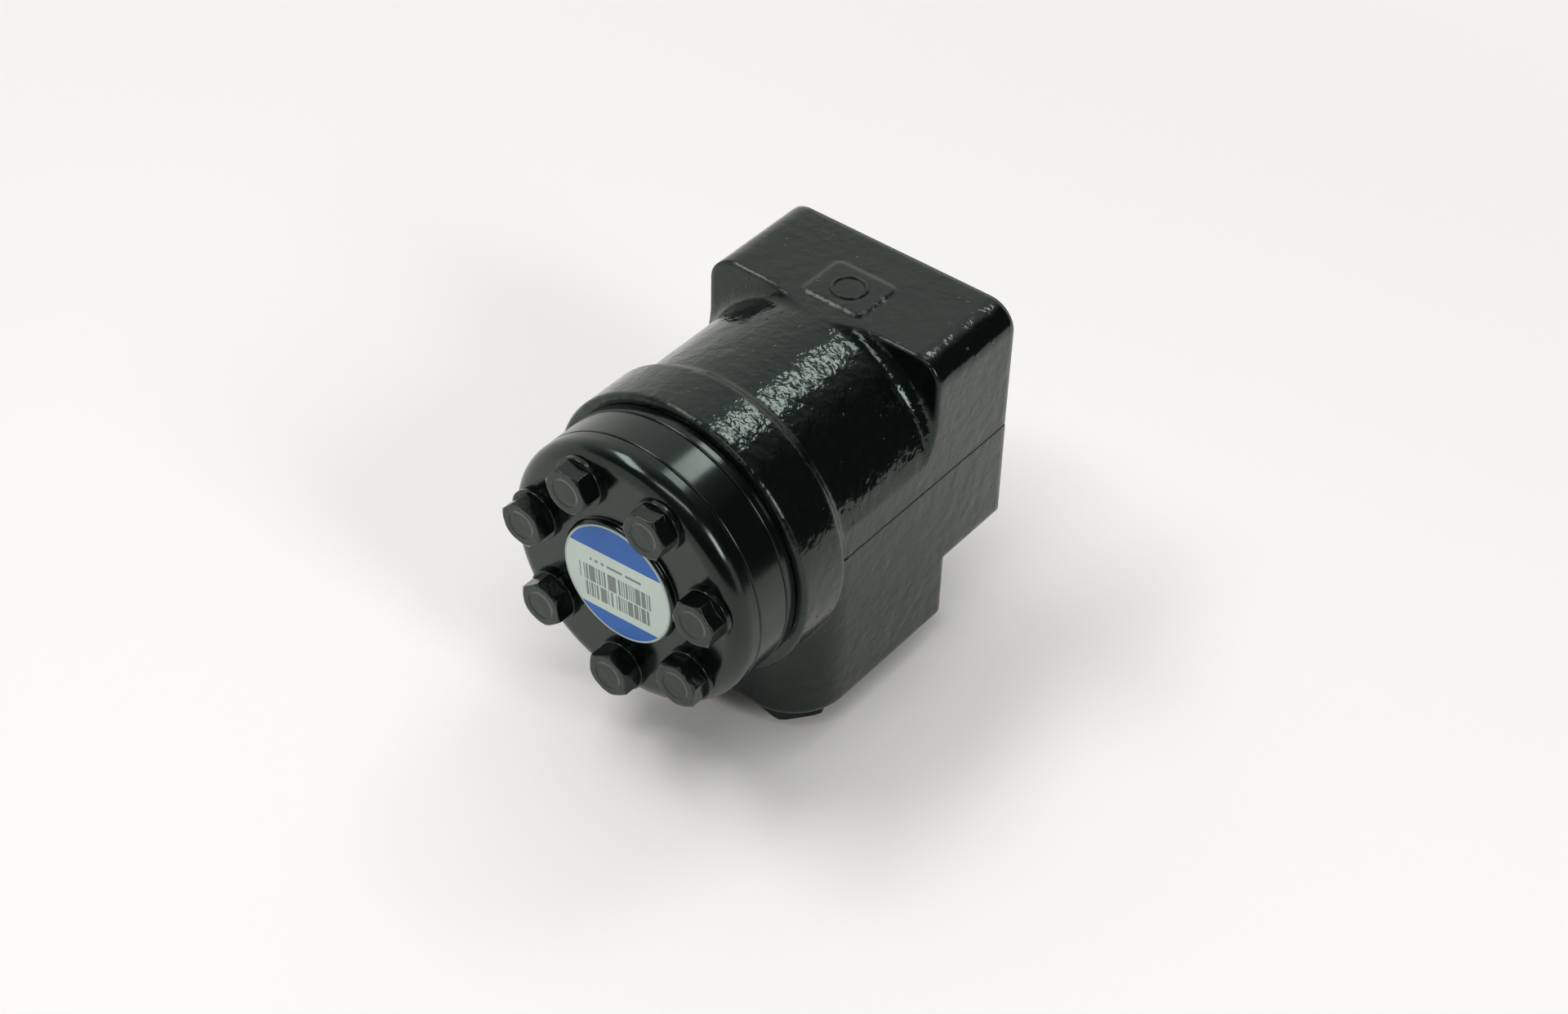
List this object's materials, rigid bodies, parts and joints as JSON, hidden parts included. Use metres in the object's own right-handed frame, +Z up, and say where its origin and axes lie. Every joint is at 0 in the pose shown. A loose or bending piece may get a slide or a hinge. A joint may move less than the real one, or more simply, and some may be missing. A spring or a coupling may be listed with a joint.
{
  "type": "orbital steering unit",
  "caption": "Black orbital steering unit: cast valve housing with column flange and port block, gear ring and round end cover held by hex screws.",
  "frame": {"origin": "centre of the mounting flange face, on the shaft axis", "axes": "+Y out of the flange face along the shaft, +Z up with the ports facing down, +X to the right seen from the end cover"},
  "size_m": [0.0896, 0.1293, 0.1108],
  "materials": {
    "cast_housing": "gloss enamel over sand-cast iron",
    "cover_paint": "smooth gloss enamel",
    "screw_paint": "gloss enamel over forged steel",
    "label": "printed film",
    "plug_plastic": "moulded black plastic",
    "seal_rubber": "nitrile rubber",
    "ground_steel": "ground and hardened steel"
  },
  "bodies": {
    "casing": {"ball_seats": "ground_steel", "cover_label": "label", "cover_o_ring": "seal_rubber", "cover_screws": "screw_paint", "distributor_plate": "cover_paint", "dust_seal": "seal_rubber", "end_cover": "cover_paint", "gear_ring": "cover_paint", "housing": "cast_housing", "housing_o_ring": "seal_rubber", "outer_bearing_race": "ground_steel", "plate_o_ring": "seal_rubber", "port_plugs": "plug_plastic", "relief_valve_plug": "ground_steel", "relief_valve_spring": "ground_steel", "screw_washers": "screw_paint", "shaft_seal": "seal_rubber", "shock_valve_front_plug": "ground_steel", "shock_valve_front_spring": "ground_steel", "shock_valve_rear_plug": "ground_steel", "shock_valve_rear_spring": "ground_steel", "special_screw": "screw_paint"},
    "sleeve_set": {"sleeve": "ground_steel", "cross_pin": "ground_steel", "spring_retainer": "ground_steel", "centring_springs": "ground_steel", "inner_bearing_race": "ground_steel"},
    "spool": {"spool": "ground_steel"},
    "thrust_bearing": {"needle_cage": "ground_steel", "thrust_needles": "ground_steel"},
    "orbit_spacer": {"spacer": "ground_steel"},
    "rotor": {"rotor": "ground_steel"},
    "cardan": {"cardan_shaft": "ground_steel"},
    "check_ball": {"check_ball": "ground_steel"},
    "suction_ball_left": {"suction_ball_left": "ground_steel"},
    "suction_ball_right": {"suction_ball_right": "ground_steel"},
    "relief_valve_ball": {"relief_valve_ball": "ground_steel"},
    "shock_valve_front_ball": {"shock_valve_front_ball": "ground_steel"},
    "shock_valve_rear_ball": {"shock_valve_rear_ball": "ground_steel"}
  },
  "joints": [
    {"name": "sleeve_turn", "type": "hinge", "parent": "casing", "child": "sleeve_set", "pos_m": [0, -0.045, 0], "axis": [0, 1, 0], "continuous": true},
    {"name": "spool_turn", "type": "hinge", "parent": "sleeve_set", "child": "spool", "pos_m": [0, -0.045, 0], "axis": [0, 1, 0], "range_deg": [-8, 8], "stiffness_Nm_per_rad": 6},
    {"name": "bearing_turn", "type": "hinge", "parent": "casing", "child": "thrust_bearing", "pos_m": [0, -0.0145, 0], "axis": [0, 1, 0], "continuous": true},
    {"name": "orbit", "type": "hinge", "parent": "casing", "child": "orbit_spacer", "pos_m": [0, -0.10725, 0], "axis": [0, 1, 0], "continuous": true},
    {"name": "rotor_spin", "type": "hinge", "parent": "orbit_spacer", "child": "rotor", "pos_m": [0, -0.10725, 0.0026], "axis": [0, 1, 0], "continuous": true},
    {"name": "cardan_spin", "type": "hinge", "parent": "orbit_spacer", "child": "cardan", "pos_m": [0, -0.045, 0], "axis": [0, 0.9991, -0.0417], "continuous": true},
    {"name": "check_ball_lift", "type": "slide", "parent": "casing", "child": "check_ball", "axis": [0, -1, 0], "range_m": [0, 0.002]},
    {"name": "suction_left_lift", "type": "slide", "parent": "casing", "child": "suction_ball_left", "axis": [0, -1, 0], "range_m": [0, 0.002]},
    {"name": "suction_right_lift", "type": "slide", "parent": "casing", "child": "suction_ball_right", "axis": [0, -1, 0], "range_m": [0, 0.002]},
    {"name": "relief_valve_lift", "type": "slide", "parent": "casing", "child": "relief_valve_ball", "axis": [0, 0, -1], "range_m": [0, 0.001], "stiffness_N_per_m": 4000, "deforming": ["relief_valve_spring"]},
    {"name": "shock_valve_front_lift", "type": "slide", "parent": "casing", "child": "shock_valve_front_ball", "axis": [0, 0, -1], "range_m": [0, 0.001], "stiffness_N_per_m": 4000, "deforming": ["shock_valve_front_spring"]},
    {"name": "shock_valve_rear_lift", "type": "slide", "parent": "casing", "child": "shock_valve_rear_ball", "axis": [0, 0, -1], "range_m": [0, 0.001], "stiffness_N_per_m": 4000, "deforming": ["shock_valve_rear_spring"]}
  ],
  "couplings": [
    {"joint": "bearing_turn", "follows": "sleeve_turn", "ratio": 0.5},
    {"joint": "orbit", "follows": "sleeve_turn", "ratio": -6},
    {"joint": "rotor_spin", "follows": "sleeve_turn", "ratio": 7},
    {"joint": "cardan_spin", "follows": "sleeve_turn", "ratio": 7}
  ]
}
